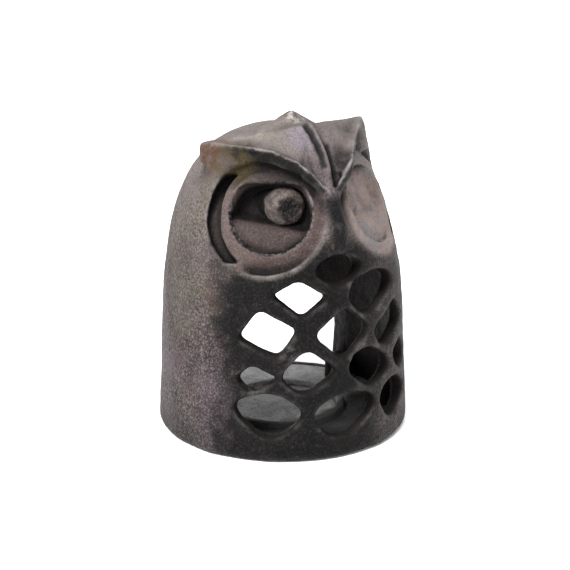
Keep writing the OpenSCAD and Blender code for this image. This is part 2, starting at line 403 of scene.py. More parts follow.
def wing_field(x, y, z):
    """Both brows: the forehead's dished top, the crest's curtain and the underside."""
    ax = np.abs(x)
    crest_d, crest_z = nearest_crest(ax, y)
    curtain = smooth_max(ax * 0.985 + y * 0.17 - TUFT_END * 0.985, ax * 0.5 + y * 0.866 - 16.9, 1.0)
    for (x0, y0, _), (x1, y1, _) in zip(CREST, CREST[1:]):
        length = math.hypot(x1 - x0, y1 - y0)
        side = ((y1 - y0) * (ax - x0) - (x1 - x0) * (y - y0)) / length
        curtain = smooth_max(curtain, side, 0.8)

    back = -0.458 * ax + 0.889 * (y + 17.0)
    mid_z = np.interp(y, MIDLINE_Y, MIDLINE_Z).astype(np.float32)
    back_z = MIDLINE_Z[-1] - 6.6 * ax / 33.0
    wm = 1.0 / (ax + 0.4) ** 2
    wc = 1.0 / (crest_d + 0.4) ** 2
    wb = 1.0 / (np.maximum(-back, 0.0) + 0.4) ** 2
    blend = (wm * mid_z + wc * crest_z + wb * back_z) / (wm + wc + wb)
    dish = 1.8 * smoothstep(0.0, 5.0, crest_d) * smoothstep(0.0, 5.0, ax) * smoothstep(0.0, 5.0, -back)
    dish = dish + 1.6 * np.exp(-((x - 9.0) ** 2 + (y + 26.5) ** 2) / 18.0) * smoothstep(0.5, 3.0, crest_d)
    top = np.where(back < 0.0, blend - dish, back_z - 0.85 * back)
    thick = VISOR_H + (TUFT_H - VISOR_H) * smoothstep(19.0, 30.0, ax)
    low = crest_z - thick - 0.3 * np.maximum(-curtain, 0.0)
    wing = smooth_max(curtain, (z - top) * 0.75, 0.6)
    return smooth_max(wing, (low - z) * 0.9, 1.2)


def midline_x(y):
    """The forehead's rib bows a little to the right of the middle on its way down."""
    return 0.5 + 1.7 * np.clip(1.0 - ((y + 25.0) / 8.5) ** 2, 0.0, 1.0)


def gutter_distances(x, y):
    """Distances from the rough gutters: left of the rib near the crown, right of it near the beak."""
    rib_x = midline_x(y) + 0.12 * np.sin(2.1 * y)
    left = np.maximum(np.abs(x - rib_x + 1.9), -28.0 - y)
    right = np.maximum(np.abs(x - rib_x - 1.8), y + 24.0)
    return left, right


def midline_fields(x, y, z):
    """The thin rib down the forehead and the rough gutters beside it."""
    mid_z = np.interp(y, MIDLINE_Y, MIDLINE_Z).astype(np.float32)
    span = np.maximum(-33.5 - y, y + 17.0)
    rib = smooth_max(np.abs(x - midline_x(y)) - 0.8, (z - mid_z - 0.5) * 0.6, 0.8)
    rib = np.maximum(rib, np.maximum(span, mid_z - 6.0 - z))
    left, right = gutter_distances(x, y)
    sides = np.minimum(left - 0.6 - 0.05 * (y + 28.0), right - 0.8)
    gutter = smooth_max(sides, (mid_z - 1.0 - z) * 0.6, 1.0)
    return rib, np.maximum(gutter, span)


def crown_field(x, y, z):
    """Four-sided peak, a little rounded, over the middle of the brow."""
    q = (np.abs(x) ** 1.5 + np.abs(y - CROWN[1]) ** 1.5 + 1.0) ** (1.0 / 1.5)
    cone = (z - CROWN[2] + CROWN_SLOPE * q) * 0.81
    return np.maximum(cone, np.maximum(q - CROWN_R, 100.0 - z))


def capsule(x, y, z, start, end, r0, r1):
    """Round bar between two points whose radius changes along it."""
    axis = np.subtract(end, start)
    dx, dy, dz = x - start[0], y - start[1], z - start[2]
    t = np.clip(along(axis, dx, dy, dz) / float(axis @ axis), 0.0, 1.0)
    off = np.sqrt((dx - t * axis[0]) ** 2 + (dy - t * axis[1]) ** 2 + (dz - t * axis[2]) ** 2)
    return off - (r0 + (r1 - r0) * t)


def stud_line(side):
    """Middle of a stud's tip, and the way its axis looks."""
    tip, turn, tilt = STUDS[side][:3]
    return np.array(tip), np.array(facing(turn, tilt))


def lug_field(x, y, z, turn):
    """Lug on the floor, round on its inner side and joined to the wall on its outer."""
    u, ahead = turned(x, y, math.radians(turn))
    column = np.sqrt(u * u + np.minimum(ahead - LUG_R, 0.0) ** 2) - LUG_HALF_W
    return np.maximum(np.maximum(column, ahead - LUG_OUT), np.maximum(z - LUG_TOP, FLOOR_Z - z))


def stud_seat_field(x, y, z, side):
    """Boss that a stud stands on, cut square to the stud's axis at its foot."""
    tip, axis = stud_line(side)
    length, _, root_r = STUDS[side][3:]
    seat = tip - axis * (length + 1.0)
    pad = capsule(x, y, z, tuple(seat), tuple(seat - axis * 6.0), root_r, root_r + 1.4)
    beyond = along(axis, x - tip[0], y - tip[1], z - tip[2]) + length
    return np.maximum(pad, beyond)


def beak_field(x, y, z):
    upper, lower = [capsule(x, y, z, *bar) for bar in BEAK]
    return smooth_min(upper, lower, 1.0)


def shell_field(xs, ys, zs):
    """The whole casting on a grid, in the order bell, face, brow, openings, doorway, foot and lugs."""
    x, y, z = xs[:, None, None], ys[None, :, None], zs[None, None, :]
    r = np.sqrt(x * x + y * y)
    shell = smooth_max(bell_field(r, z), -hollow_field(r, z), 0.8)
    shell = shell.astype(np.float32)

    k0 = int(np.searchsorted(zs, FACE_Z))
    j1 = int(np.searchsorted(ys, FACE_BACK))
    face = (slice(None), slice(0, j1), slice(k0, None))
    fx, fy, fz = x, y[:, :j1], z[:, :, k0:]
    part = shell[face]
    for side in (-1, 1):
        part = carve_eye(part, fx, fy, fz, side)
        part = smooth_min(part, stud_seat_field(fx, fy, fz, side), 1.2)
    part = smooth_min(part, beak_field(fx, fy, fz), 2.2)
    shell[face] = smooth_max(part, side_field(fx, fy, fz), 1.5)

    k0 = int(np.searchsorted(zs, BROW_Z))
    top = (slice(None), slice(None), slice(k0, None))
    tz = z[:, :, k0:]
    part = smooth_min(shell[top], crown_field(x, y, tz), 2.5)
    part = smooth_min(part, wing_field(x, y, tz), 3.0)
    part = smooth_max(part, side_field(x, y, tz), 1.5)
    rib, gutter = midline_fields(x, y, tz)
    part = smooth_min(part, rib, 0.5)
    shell[top] = smooth_max(part, -gutter, 0.5)

    cut_openings(shell, xs, ys, zs)
    shell = smooth_max(shell, -door_field(x, y, z), 1.4)
    shell = smooth_max(shell, FOOT_Z - z, FOOT_ARC)
    for turn in LUG_TURNS:
        shell = smooth_min(shell, lug_field(x, y, z, turn), 0.8)
    return np.maximum(shell, -np.maximum(r - REBATE_R, z - FLOOR_Z)).astype(np.float32)


# ---------- meshing

def fill_pinches(field):
    """Fills one grid point where two solid ones only touch across a corner, so that no edge is pinched."""
    for _ in range(PINCH_ROUNDS):
        for b, c in ((0, 1), (0, 2), (1, 2)):
            inside = field < 0.0
            low_b, high_b, low_c, high_c = [[slice(None)] * 3 for _ in range(4)]
            low_b[b], high_b[b] = slice(0, -1), slice(1, None)
            low_c[c], high_c[c] = slice(0, -1), slice(1, None)
            near_b, far_b = inside[tuple(low_b)], inside[tuple(high_b)]
            s00, s01 = near_b[tuple(low_c)], near_b[tuple(high_c)]
            s10, s11 = far_b[tuple(low_c)], far_b[tuple(high_c)]
            rising = np.argwhere(s00 & s11 & ~s10 & ~s01)
            rising[:, b] += 1
            falling = np.argwhere(s10 & s01 & ~s00 & ~s11)
            for points in (rising, falling):
                field[tuple(points.T)] = -PINCH_FILL


def surface_nets(field, origin, step):
    """Vertices and quads of the zero surface: one vertex in each cell that the surface crosses."""
    fill_pinches(field)
    inside = field < 0.0
    nx, ny, nz = (n - 1 for n in field.shape)
    total = np.zeros((nx, ny, nz), np.int8)
    for i, j, k in np.ndindex(2, 2, 2):
        total += inside[i:nx + i, j:ny + j, k:nz + k]
    cells = np.argwhere((total > 0) & (total < 8))
    index = np.full(total.shape, -1, np.int32)
    index[tuple(cells.T)] = np.arange(len(cells))

    sums = np.zeros((len(cells), 3))
    counts = np.zeros(len(cells))
    for axis in range(3):
        others = [n for n in range(3) if n != axis]
        for p, q in np.ndindex(2, 2):
            start = cells.copy()
            start[:, others[0]] += p
            start[:, others[1]] += q
            end = start.copy()
            end[:, axis] += 1
            f0, f1 = field[tuple(start.T)], field[tuple(end.T)]
            crossed = (f0 < 0) != (f1 < 0)
            t = np.where(crossed, f0 / np.where(crossed, f0 - f1, 1.0), 0.0)
            point = start.astype(float)
            point[:, axis] += t
            sums += point * crossed[:, None]
            counts += crossed
    verts = np.array(origin) + step * sums / counts[:, None]

    quads = []
    for axis in range(3):
        b, c = [n for n in range(3) if n != axis]
        low = [slice(1, -1)] * 3
        low[axis] = slice(0, -1)
        high = list(low)
        high[axis] = slice(1, None)
        f0, f1 = inside[tuple(low)], inside[tuple(high)]
        edges = np.argwhere(f0 != f1)
        outward = f0[tuple(edges.T)]
        base = edges.copy()
        base[:, b] += 1
        base[:, c] += 1
        ring = []
        for db, dc in ((1, 1), (0, 1), (0, 0), (1, 0)):
            cell = base.copy()
            cell[:, b] -= db
            cell[:, c] -= dc
            ring.append(index[tuple(cell.T)])
        quad = np.stack(ring, 1)
        flip = outward if axis != 1 else ~outward
        quad[~flip] = quad[~flip][:, ::-1]
        quads.append(quad)
    return verts, np.concatenate(quads)


def between(grid, cell, f):
    """A grid's values at points inside its cells, given each cell and the fractions f across it."""
    out = np.zeros(len(cell))
    for i, j, k in np.ndindex(2, 2, 2):
        weight = np.abs(1 - i - f[:, 0]) * np.abs(1 - j - f[:, 1]) * np.abs(1 - k - f[:, 2])
        out += weight * grid[cell[:, 0] + i, cell[:, 1] + j, cell[:, 2] + k]
    return out


def value_noise(points, size, seed):
    """Smooth random values from -1 to 1, with features about size millimetres across."""
    table = np.random.default_rng(seed).uniform(-1.0, 1.0, (NOISE_CELLS,) * 3)
    p = points / size + NOISE_SHIFT
    cell = np.floor(p).astype(int)
    f = p - cell
    f = f * f * (3.0 - 2.0 * f)
    return between(np.pad(table, (0, 1), mode="wrap"), cell % NOISE_CELLS, f)


def place_points(mesh, verts):
    """Moves a mesh's vertices to places given in millimetres."""
    mesh.vertices.foreach_set("co", (verts * MM).astype(np.float32).ravel())


def mesh_from(name, verts, quads):
    mesh = bpy.data.meshes.new(name)
    mesh.vertices.add(len(verts))
    place_points(mesh, verts)
    mesh.loops.add(quads.size)
    mesh.loops.foreach_set("vertex_index", quads.astype(np.int32).ravel())
    mesh.polygons.add(len(quads))
    mesh.polygons.foreach_set("loop_start", np.arange(0, quads.size, 4, dtype=np.int32))
    mesh.update(calc_edges=True)
    mesh.shade_smooth()
    return mesh


def vectors_of(members, key):
    """The vector that each member of a mesh's collection holds under a key."""
    flat = np.empty(len(members) * 3, np.float32)
    members.foreach_get(key, flat)
    return flat.reshape(-1, 3).astype(float)


def points_of(mesh):
    """A mesh's vertices, in millimetres."""
    return vectors_of(mesh.vertices, "co") / MM


def mesh_normals(mesh):
    return vectors_of(mesh.vertex_normals, "vector")


def curvature(mesh, verts, normals, rounds):
    """How far each vertex stands out of its surroundings, positive on edges and negative in creases."""
    edges = np.empty(len(mesh.edges) * 2, np.int32)
    mesh.edges.foreach_get("vertices", edges)
    a, b = edges.reshape(-1, 2).T
    count = np.bincount(a, minlength=len(verts)) + np.bincount(b, minlength=len(verts))
    smooth = verts.copy()
    for _ in range(rounds):
        mean = np.empty_like(smooth)
        for n in range(3):
            near_a = np.bincount(a, smooth[b, n], len(verts))
            near_b = np.bincount(b, smooth[a, n], len(verts))
            mean[:, n] = (near_a + near_b) / count
        smooth = 0.5 * (smooth + mean)
    return ((verts - smooth) * normals).sum(1)


def sample(field, origin, step, points):
    """The field's value at any points, between its grid points."""
    p = np.clip((points - np.array(origin)) / step, 0.0, np.array(field.shape) - 1.001)
    cell = p.astype(int)
    return between(field, cell, p - cell)


def enclosure(field, origin, step, verts, normals):
    """0 on an open face, rising to 1 where other metal stands close in front of it."""
    total = np.zeros(len(verts))
    for reach in (2.0, 4.0, 7.0):
        points = verts + normals * reach
        open_air = np.hypot(points[:, 0], points[:, 1]) - BASE_R
        total += 1.0 - np.maximum(sample(field, origin, step, points), open_air) / reach
    return total / 3.0


def add_attribute(mesh, name, values):
    attribute = mesh.attributes.new(name, "FLOAT", "POINT")
    attribute.data.foreach_set("value", np.clip(values, 0.0, 1.0).astype(np.float32))


def spot(verts, centre, radius):
    """1 at a point on the surface, fading to 0 at radius."""
    return smoothstep(radius, radius * 0.3, np.linalg.norm(verts - np.array(centre), axis=1))


def breast_mask(verts, turn):
    """Soot on the front, ragged along its left side and thinner towards the right and low down there."""
    z = verts[:, 2]
    ragged_turn = turn + 7.0 * value_noise(verts, 10.0, 51) + 4.0 * value_noise(verts, 3.0, 52)
    breast = smoothstep(-67.0, -51.0, ragged_turn) * smoothstep(75.0, 50.0, turn)
    breast *= smoothstep(84.0, 74.0, z)
    to_the_right = 0.45 * smoothstep(8.0, 32.0, turn)
    low_down = 0.55 * smoothstep(18.0, 8.0, z) * smoothstep(14.0, 28.0, turn)
    return breast * (1.0 - to_the_right - low_down)


def brow_masks(verts, normals):
    """Painted shade under the crest, the beak, the gutters, a band along the left crest, and the crest's
    own edge, where a highlight is painted.
    """
    x, y, z = verts.T
    # Painted shade on the faces that look down under the crest
    under_crest_shade = smoothstep(0.55, 0.15, normals[:, 2]) * smoothstep(93.0, 98.0, z) * smoothstep(6.0, -2.0, y)
    under_crest_shade *= smoothstep(34.0, 24.0, np.abs(x)) * smoothstep(27.0, 21.0, x)
    beak = smoothstep(5.0, 1.5, np.abs(x)) * smoothstep(66.0, 74.0, z) * smoothstep(98.0, 92.0, z)
    beak *= smoothstep(-25.0, -32.0, y)
    left, right = gutter_distances(x, y)
    gutter = smoothstep(1.9, 0.7, np.minimum(left, right)) * smoothstep(-15.0, -18.0, y) * (z > 96.0)
    crest_d, crest_z = nearest_crest(np.abs(x), y)
    below = crest_z - z
    band = smoothstep(0.6, 1.6, below) * smoothstep(7.5, 4.5, below) * smoothstep(5.0, 3.0, crest_d)
    band *= smoothstep(-32.0, -25.0, x) * smoothstep(-2.0, -6.0, x)
    # Painted highlight along the crest
    edge = smoothstep(1.7, 0.5, np.hypot(crest_d, below))
    return under_crest_shade, beak, gutter, band, edge


def near_eye(h):
    """1 around an eye's socket, fading to 0 far in front of it and behind it."""
    return smoothstep(9.0, 7.0, np.abs(h + 2.0))


def blush_mask(verts):
    """Both eyes, out to their rings."""
    blush = np.zeros(len(verts))
    for side in (1, -1):
        _, _, h, _, ra, rb = eye_coordinates(*verts.T, side)
        socket = smoothstep(RING_R + 1.5, RING_R - 2.0, np.hypot(ra, rb))
        blush = np.maximum(blush, socket * near_eye(h))
    return blush


def left_eye_masks(verts):
    """The left bowl's outline, painted shade on its lid, the whole bowl, painted shade in its deep part,
    then its ring's lip, where a highlight is painted, and painted shade in its dish.
    """
    a, _, h, bowl_b, ra, rb = eye_coordinates(*verts.T, -1)
    near = near_eye(h)
    rho = np.hypot(a, bowl_b)
    ring = np.hypot(ra, rb)
    outline = smoothstep(1.3, 0.5, np.abs(rho - BOWL_R + 0.2)) * smoothstep(6.0, 1.0, bowl_b) * near
    # Painted shade on the lid under the brow
    lid_shade = smoothstep(6.5, 10.5, bowl_b) * smoothstep(RING_R, RING_R - 3.0, ring) * near
    in_bowl = smoothstep(BOWL_R, BOWL_R - 1.5, rho) * near
    # Painted shade in the deep part of the bowl
    bowl_pocket_shade = smoothstep(BOWL_R + 1.0, BOWL_R - 0.5, rho) * smoothstep(-3.4, -5.8, h) * (h > -13.0)
    # Painted highlight along the ring's lip
    lip = smoothstep(1.3, 0.4, np.abs(ring - RING_R + 0.2)) * smoothstep(1.0, -5.0, rb) * near
    lip *= smoothstep(12.0, 3.0, ra) * (0.55 + 0.45 * value_noise(verts, 2.2, 53))
    # Painted shade in the lower, inner part of the ring's dish
    dish = smoothstep(15.0, 17.5, ring) * smoothstep(21.0, 19.6, ring) * smoothstep(8.0, -2.0, rb) * near
    dish *= 0.25 + 0.75 * smoothstep(0.3, -0.7, ra / np.maximum(ring, 1.0))
    return outline, lid_shade, in_bowl, bowl_pocket_shade, lip, dish


def stain_mask(verts):
    """Dark line round the foot of the right stud."""
    tip, axis = stud_line(1)
    root_r = STUDS[1][5]
    reach = (verts - tip) @ axis
    off = np.sqrt(np.maximum(((verts - tip) ** 2).sum(1) - reach ** 2, 0.0))
    return smoothstep(1.3, 0.4, np.abs(off - root_r - 0.4)) * smoothstep(8.0, 6.0, np.abs(reach))


def paint_masks(mesh, verts, normals):
    """Where the patina is worn, sooty, rusty or olive, and where shade, light or highlights are painted, by
    rules on place, slope and curvature.
    """
    x, y, z = verts.T
    r = np.hypot(x, y)
    depth = bell_radius(np.clip(z, 0, 109.0)) - r
    inner = smoothstep(0.3, 1.5, depth) * smoothstep(79.0, 76.0, z) * smoothstep(6.0, 9.0, z)
    inner = np.maximum(inner, smoothstep(2.0, 0.8, hollow_field(r, z)))
    bend = curvature(mesh, verts, normals, 14)
    blush = blush_mask(verts)
    breast = breast_mask(verts, np.degrees(np.arctan2(x, -y))) * (1.0 - blush)
    under_crest_shade, beak, gutter, band, crest_highlight = brow_masks(verts, normals)
    outline, lid_shade, in_bowl, bowl_pocket_shade, lip, dish = left_eye_masks(verts)
    foot = 0.40 * smoothstep(15.0, 5.0, z)
    hollows = [level * spot(verts, centre, radius) for centre, radius, level in BROW_HOLLOW_SHADE]
    # Soot on the breast; painted shade under the crest, on the lid, in the left bowl's deep part and in the
    # brow's hollows; the foot darker towards the bottom
    soot_and_shade_parts = [breast, under_crest_shade, beak, bowl_pocket_shade, foot, *hollows]
    soot_and_shade_parts += [0.9 * gutter, 0.6 * lid_shade, 0.42 * in_bowl, 0.93 * band]
    chips = [level * spot(verts, centre, radius) for centre, radius, level in CHIPS]
    spots = {name: spot(verts, centre, radius) for name, (centre, radius) in SPOTS.items()}
    spots["rust"] *= smoothstep(0.6, 0.1, normals[:, 1])

    masks = {
        "worn": smoothstep(0.10, 0.45, bend),
        "crease": smoothstep(-0.08, -0.40, bend),
        # Painted highlight along the crest and the left ring's lip
        "edge": np.maximum(crest_highlight, 0.5 * lip),
        "soot_and_shade": np.maximum.reduce(soot_and_shade_parts),
        # Painted light over the right eye
        "pale": blush * smoothstep(4.0, 9.0, x),
        "inner": inner * (1.0 - blush),
        "outline": outline,
        # Painted shade in the left ring's dish, and a dark line round the right stud's foot
        "dish": np.maximum(0.22 * dish, 0.7 * stain_mask(verts)),
        "blush": blush,
        **spots,
        "chip": np.maximum.reduce(chips),
    }
    for name, values in masks.items():
        add_attribute(mesh, name, values)


def grid_step(steps):
    fine, coarse = steps
    return fine


def cast_lumps(verts, lumps):
    """How far a rough casting stands out at each vertex, from rows of height, size and seed."""
    return sum(height * value_noise(verts, size, seed) for height, size, seed in lumps)


def reduce_triangles(piece, ratio):
    """Thins a piece's mesh to a share of its triangles, and drops the modifier that did it."""
    thin = piece.modifiers.new("reduce", "DECIMATE")
    thin.ratio = ratio
    bpy.context.view_layer.update()
    evaluated = piece.evaluated_get(bpy.context.evaluated_depsgraph_get())
    reduced = bpy.data.meshes.new_from_object(evaluated)
    piece.modifiers.clear()
    piece.data = reduced
    reduced.shade_smooth()


def build_shell():
    step = grid_step(SHELL_STEPS)
    xs = np.arange(-BASE_R - SHELL_MARGIN, BASE_R + SHELL_MARGIN, step, dtype=np.float32)
    zs = np.arange(-SHELL_MARGIN, SHELL_TOP, step, dtype=np.float32)
    origin = (xs[0], xs[0], zs[0])
    field = shell_field(xs, xs, zs)
    verts, quads = surface_nets(field, origin, step)
    mesh = mesh_from("owl_shell_sculpt", verts, quads)

    lumps = cast_lumps(verts, SHELL_LUMPS)
    plate_seat = (np.hypot(verts[:, 0], verts[:, 1]) < REBATE_R + 0.6) & (verts[:, 2] < FLOOR_Z + 0.6)
    lumps[plate_seat | (verts[:, 2] < FOOT_Z + 0.3)] = 0.0
    verts = verts + mesh_normals(mesh) * lumps[:, None]
    place_points(mesh, verts)
    mesh.update()
    normals = mesh_normals(mesh)
    paint_masks(mesh, verts, normals)
    # Painted shade: how closely other metal stands in front of each face
    occlusion_shade = enclosure(field, origin, step, verts, normals)
    add_attribute(mesh, "occlusion_shade", smoothstep(0.10, 0.58, occlusion_shade))

    shell = bpy.data.objects.new("owl_shell_sculpt", mesh)
    bpy.context.collection.objects.link(shell)
    triangles = 2 * len(quads)
    if triangles > MAX_TRIANGLES:
        reduce_triangles(shell, MAX_TRIANGLES / triangles)
    return shell


def sculpt(name, field_of, box, step, lumps):
    """A small cast piece from its distance field inside a box, roughened by lumps."""
    axes = [np.arange(low, high + step, step, dtype=np.float32) for low, high in zip(*box)]
    field = field_of(axes[0][:, None, None], axes[1][None, :, None], axes[2][None, None, :])
    verts, quads = surface_nets(field, (axes[0][0], axes[1][0], axes[2][0]), step)
    mesh = mesh_from(name, verts, quads)
    verts = verts + mesh_normals(mesh) * cast_lumps(verts, lumps)[:, None]
    place_points(mesh, verts)
    mesh.update()
    bend = curvature(mesh, verts, mesh_normals(mesh), 10)
    add_attribute(mesh, "worn", smoothstep(0.04, 0.25, bend))
    add_attribute(mesh, "crease", smoothstep(-0.04, -0.25, bend))
    piece = bpy.data.objects.new(name, mesh)
    bpy.context.collection.objects.link(piece)
    return piece


def pupil_field(side):
    """Round-nosed stud in the bowl of the eye, on its spigot, with a rough dimple in its tip."""
    tip, axis = stud_line(side)
    length, tip_r, root_r = STUDS[side][3:]

    def field(x, y, z):
        dx, dy, dz = x - tip[0], y - tip[1], z - tip[2]
        h = along(axis, dx, dy, dz)
        off = np.sqrt(np.maximum(dx * dx + dy * dy + dz * dz - h * h, 0.0))
        radius = tip_r + (root_r - tip_r) * np.clip(-h / length, 0.0, 1.0)
        stud = smooth_max(off - radius, h - 0.3, 0.9 * tip_r)
        stud = np.maximum(stud, -length - h)
        dimple = np.sqrt(off * off + (h - 1.5 * tip_r) ** 2) - 1.62 * tip_r
        stud = smooth_max(stud, -dimple, 0.8)
        spigot = np.maximum(off - SPIGOT_R, np.maximum(h + 1.0, -length - SPIGOT_L - h))
        return np.minimum(stud, spigot)

    return field, tip, axis


def build_pupil(side, name):
    field, tip, axis = pupil_field(side)
    length, tip_r, root_r = STUDS[side][3:]
    middle = tip - axis * (length + SPIGOT_L) / 2
    reach = (length + SPIGOT_L) / 2 + root_r + 0.5
    box = (middle - reach, middle + reach)
    piece = sculpt(name, field, box, grid_step(STUD_STEPS), STUD_LUMPS)
    verts = points_of(piece.data) - tip
    h = verts @ axis
    off = np.sqrt(np.maximum((verts * verts).sum(1) - h * h, 0.0)) + value_noise(verts, 1.4, 31)
    # The right stud gets painted light
    black, pale = (1.0, 0.0) if side < 0 else (0.3, 1.0)
    soot_and_shade = black * smoothstep(0.92 * tip_r, 0.5 * tip_r, off) * smoothstep(-3.0, -1.0, h)
    add_attribute(piece.data, "soot_and_shade", soot_and_shade)
    add_attribute(piece.data, "pale", np.full(len(verts), pale))
    return piece


def floor_field(x, y, z):
    """Base plate with the raised ring that a tealight stands in, and its four screw holes."""
    r = np.sqrt(x * x + y * y)
    middle = PLATE_BOTTOM + PLATE_T / 2
    plate = smooth_max(r - REBATE_R + PLATE_GAP, np.abs(z - middle) - PLATE_T / 2, 0.5)
    seat = np.maximum(np.abs(r - SEAT_MID_R) - SEAT_HALF, np.abs(z - SEAT_MID_Z) - SEAT_HALF)
    seat = smooth_max(seat, r - SEAT_OUT_R + SEAT_DRAFT * (z - FLOOR_Z), 0.4)
    plate = smooth_min(plate, seat, 0.6)
    for turn in LUG_TURNS:
        turn = math.radians(turn)
        off = np.sqrt((x - LUG_R * math.sin(turn)) ** 2 + (y + LUG_R * math.cos(turn)) ** 2)
        hole_r = np.maximum(SCREW_R, SCREW_HEAD_R - (z - PLATE_BOTTOM) * SCREW_CONE)
        plate = np.maximum(plate, hole_r - off)
    return plate


def build_floor_plate():
    plate = sculpt("floor_plate", floor_field, PLATE_BOX, grid_step(PLATE_STEPS), PLATE_LUMPS)
    points = points_of(plate.data)
    x, y, _ = points.T
    # Painted shadow of the front wall on the floor, lit only towards the back doorway
    front_shadow = np.hypot(x / 30.0, (y - 8.0) / 22.0) + 0.06 * value_noise(points, 5.0, 41)
    add_attribute(plate.data, "soot_and_shade", smoothstep(0.92, 1.06, front_shadow) * smoothstep(2.0, -6.0, y))
    return plate


# ---------- materials

# Colours of the body's patina, in linear light
IRON_DARK = (0.017, 0.0135, 0.0135)
IRON_LIGHT = (0.053, 0.043, 0.042)
BROW_GREY = (0.135, 0.117, 0.108)
OCHRE_DARK = (0.150, 0.128, 0.092)
OCHRE_LIGHT = (0.230, 0.205, 0.175)
VIOLET_GREY = (0.150, 0.136, 0.168)
WEATHER_OLIVE = (0.078, 0.073, 0.053)
WEATHER_PLUM = (0.074, 0.056, 0.072)
SOCKET_BROWN = (0.062, 0.043, 0.040)
# Painted light over the right eye, cool and warm
PAINTED_LIGHT_COOL = (0.195, 0.180, 0.185)
PAINTED_LIGHT_WARM = (0.275, 0.215, 0.195)
# Painted shade of the left dish, and the dark line round the right stud
DISH_SHADE_AND_STAIN_BROWN = (0.026, 0.014, 0.012)
PALE_SPECK = (0.165, 0.140, 0.143)
DARK_SPECK = (0.008, 0.0065, 0.0065)
STAIN_BROWN = (0.048, 0.028, 0.023)
# Black of soot and of painted shade
SOOT_AND_SHADE_BLACK = (0.0018, 0.0018, 0.0020)
SOOT_AND_SHADE_DUSTY = (0.0115, 0.011, 0.011)
INSIDE_BLACK = (0.010, 0.0085, 0.008)
# Painted shade of places that other metal shuts in
OCCLUSION_SHADE_BLACK = (0.005, 0.004, 0.004)
CREASE_BLACK = (0.004, 0.004, 0.004)
RUBBED_GREY = (0.170, 0.160, 0.158)
# Painted highlight along the crest and the ring's lip
EDGE_HIGHLIGHT_GREY = (0.215, 0.205, 0.195)
RUST_BROWN = (0.052, 0.024, 0.013)
OLIVE_BROWN = (0.045, 0.034, 0.014)
CHIP_GREY = (0.265, 0.245, 0.235)

IRON_METALLIC = 0.15
SPECULAR = 0.08


class Shader:
    """Builds one material's node tree, with a method for each kind of node."""

    def __init__(self, name):
        self.material = bpy.data.materials.new(name)
        self.material.use_nodes = True
        self.tree = self.material.node_tree
        self.surface = self.tree.nodes["Principled BSDF"]
        self.coords = self.tree.nodes.new("ShaderNodeTexCoord").outputs["Object"]

    def put(self, socket, value):
        if isinstance(value, bpy.types.NodeSocket):
            self.tree.links.new(value, socket)
        elif isinstance(value, tuple) and len(value) == 3:
            socket.default_value = (*value, 1.0)
        else:
            socket.default_value = value

    def fill(self, node, inputs):
        """Sets or links a node's inputs, by name or by number."""
        for key, value in inputs.items():
            self.put(node.inputs[key], value)
        return node

    def node(self, kind, inputs):
        return self.fill(self.tree.nodes.new("ShaderNode" + kind), inputs)

    def noise(self, scale, detail=4.0, rough=0.55, warp=0.0, coords=None):
        node = self.node("TexNoise", {"Vector": coords or self.coords, "Scale": scale})
        self.fill(node, {"Detail": detail, "Roughness": rough, "Distortion": warp})
        return node.outputs["Fac"]

    def cells(self, scale):
        return self.node("TexVoronoi", {"Vector": self.coords, "Scale": scale}).outputs["Distance"]

    def mask(self, name):
        node = self.node("Attribute", {})
        node.attribute_name = name
        return node.outputs["Fac"]

    def math(self, operation, a, b=0.0):
        node = self.node("Math", {0: a, 1: b})
        node.operation = operation
        return node.outputs[0]

    def times(self, a, b):
        return self.math("MULTIPLY", a, b)

    def span(self, value, low, high, out_low=0.0, out_high=1.0):
        node = self.node("MapRange", {})
        node.interpolation_type = "SMOOTHSTEP"
        for socket, number in zip(node.inputs[:5], (value, low, high, out_low, out_high)):
            self.put(socket, number)
        return node.outputs["Result"]

    def height(self, low, high):
        """0 below low and 1 above high, in metres."""
        return self.span(self.node("SeparateXYZ", {0: self.coords}).outputs["Z"], low, high)

    def mix(self, amount, a, b):
        node = self.node("Mix", {})
        node.data_type = "RGBA"
        return self.fill(node, {0: amount, 6: a, 7: b}).outputs[2]

    def cover(self, name, strength, under, over):
        """Lays one colour over another where the mask of that name is painted."""
        return self.mix(self.times(self.mask(name), strength), under, over)

    def bump(self, height, depth, under=None):
        """Adds relief depth metres deep over the relief given as under."""
        node = self.node("Bump", {"Strength": 1.0, "Distance": depth, "Height": height})
        if under is not None:
            self.put(node.inputs["Normal"], under)
        return node.outputs["Normal"]

    def finish(self, colour, rough, metal, normal):
        self.fill(self.surface, {"Base Color": colour, "Roughness": rough, "Metallic": metal})
        self.fill(self.surface, {"Specular IOR Level": SPECULAR, "Normal": normal})
        return self.material


def cast_grain(s):
    """Relief of a sand casting: soft lumps, sand grains and a few pits."""
    lumps = s.bump(s.noise(260.0, 5.0, 0.6), 0.0009)
    grains = s.bump(s.noise(1100.0, 3.0, 0.7), 0.00038, lumps)
    pits = s.span(s.cells(420.0), 0.0, 0.28)
    return s.bump(pits, 0.00018, grains)


def weathered_iron(s, cloud):
    """Dark iron below and paler above, ochre and violet on the brow, then olive and plum weathering."""
    blotch = s.noise(48.0, 5.0, 0.6, 0.4)
    tone = s.math("ADD", s.times(blotch, 0.45), s.times(cloud, 0.55))
    colour = s.mix(s.span(tone, 0.38, 0.62), IRON_DARK, IRON_LIGHT)
    colour = s.mix(s.times(s.height(0.055, 0.112), 0.80), colour, BROW_GREY)
    ochre = s.mix(s.span(cloud, 0.40, 0.60), OCHRE_DARK, OCHRE_LIGHT)
    colour = s.cover("ochre", 0.6, colour, ochre)
    colour = s.cover("violet", 0.6, colour, VIOLET_GREY)
    weather = s.noise(26.0, 4.0, 0.6, 0.6)
    colour = s.mix(s.span(weather, 0.50, 0.64, 0.0, 0.45), colour, WEATHER_OLIVE)
    return s.mix(s.span(weather, 0.48, 0.36, 0.0, 0.40), colour, WEATHER_PLUM)


